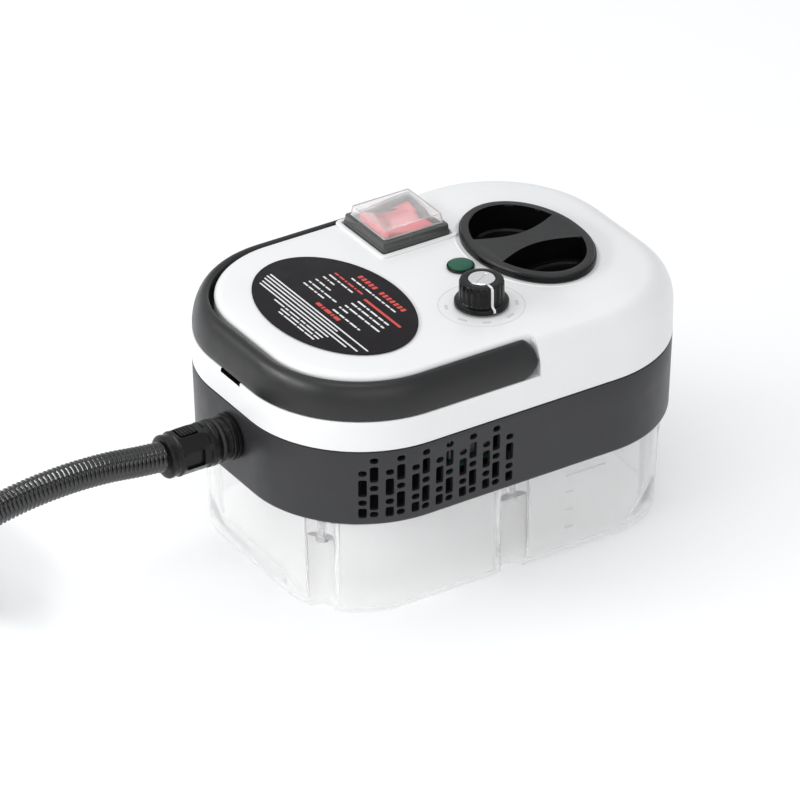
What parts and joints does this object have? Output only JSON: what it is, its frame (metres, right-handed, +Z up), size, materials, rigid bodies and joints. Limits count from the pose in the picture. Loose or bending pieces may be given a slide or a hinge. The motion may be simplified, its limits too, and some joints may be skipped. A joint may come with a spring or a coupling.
{
  "type": "portable steam cleaner",
  "caption": "Compact steam cleaner: clear water tank, grilled dark band, white domed cover with switch, knob, filler cap and fold-flat handle, and a corrugated hose with a steam gun.",
  "frame": {"origin": "middle of the flat base of the water tank, on the surface the cleaner stands on", "axes": "+X along the body away from the hose, -Y towards the side with the vent grille, +Z up"},
  "size_m": [0.5542, 0.2118, 0.131],
  "materials": {
    "clear_plastic": "clear, glossy",
    "clear_boot": "clear soft plastic",
    "dark_plastic": "fine satin, dark grey",
    "black_plastic": "satin black",
    "white_plastic": "semi-gloss white",
    "inner_plastic": "plain grey moulding",
    "rubber": "matte",
    "silicone": "translucent silicone",
    "steel": "zinc plated",
    "silver_cap": "brushed",
    "cast_aluminium": "as cast",
    "brass": "machined",
    "pump_body": "satin",
    "circuit_board": "solder mask",
    "fuse_sleeve": "woven sleeve",
    "red_rocker": "translucent red, glossy",
    "red_trigger": "satin red",
    "green_lens": "glossy green",
    "label": "printed film",
    "hose": "corrugated sheath, satin black"
  },
  "bodies": {
    "root": {"base_housing": "dark_plastic", "control_board": "circuit_board", "cover_screw_1": "steel", "cover_screw_2": "steel", "cover_screw_3": "steel", "cover_screw_4": "steel", "filler_funnel": "inner_plastic", "gun_collar": "black_plastic", "gun_nozzle": "black_plastic", "gun_shell_lower": "dark_plastic", "gun_shell_upper": "dark_plastic", "gun_trigger_pin": "steel", "gun_valve": "brass", "handle_pin_front": "steel", "handle_pin_rear": "steel", "heater_block": "cast_aluminium", "hose_coil": "hose", "hose_connector": "black_plastic", "hose_flange": "black_plastic", "hose_latch": "black_plastic", "hose_lead": "hose", "hose_nut": "black_plastic", "hose_seal": "rubber", "hose_tail": "hose", "lamp_bezel": "black_plastic", "lamp_lens": "green_lens", "mains_gland": "black_plastic", "nameplate": "label", "pot_body": "steel", "pot_nut": "steel", "pressure_tube": "silicone", "pump_body": "pump_body", "pump_cradle": "rubber", "steam_pipe": "steel", "suction_filter": "inner_plastic", "suction_tube": "silicone", "switch_bezel": "dark_plastic", "switch_body": "black_plastic", "switch_boot": "clear_boot", "tank_gasket": "rubber", "tank_screw_1": "steel", "tank_screw_2": "steel", "tank_screw_3": "steel", "tank_screw_4": "steel", "tank_screw_5": "steel", "tank_screw_6": "steel", "thermal_fuse": "fuse_sleeve", "thermostat": "steel", "top_cover": "white_plastic", "triac_heatsink": "cast_aluminium", "water_tank": "clear_plastic"},
    "handle": {"carry_handle": "dark_plastic"},
    "cap": {"filler_cap": "dark_plastic", "cap_seal": "rubber"},
    "knob": {"steam_knob": "black_plastic", "knob_cap": "silver_cap", "pot_shaft": "steel"},
    "rocker": {"switch_rocker": "red_rocker"},
    "trigger": {"gun_trigger": "red_trigger"}
  },
  "joints": [
    {"name": "handle_swing", "type": "hinge", "parent": "root", "child": "handle", "pos_m": [-0.001, 0, 0.1081], "axis": [0, 1, 0], "range_deg": [0, 90]},
    {"name": "cap_lift", "type": "slide", "parent": "root", "child": "cap", "axis": [0, 0, 1], "range_m": [0, 0.04]},
    {"name": "knob_turn", "type": "hinge", "parent": "root", "child": "knob", "pos_m": [0.0033, -0.033, 0.1178], "axis": [0, 0, 1], "range_deg": [-25, 245]},
    {"name": "rocker_tilt", "type": "hinge", "parent": "root", "child": "rocker", "pos_m": [0.0085, 0.0428, 0.118], "axis": [0, -1, 0], "range_deg": [0, 16]},
    {"name": "trigger_pull", "type": "hinge", "parent": "root", "child": "trigger", "pos_m": [-0.22614, 0.06731, 0.0155], "axis": [0, 0, -1], "range_deg": [0, 18], "stiffness_Nm_per_rad": 0.3, "springref_deg": -2.86}
  ]
}
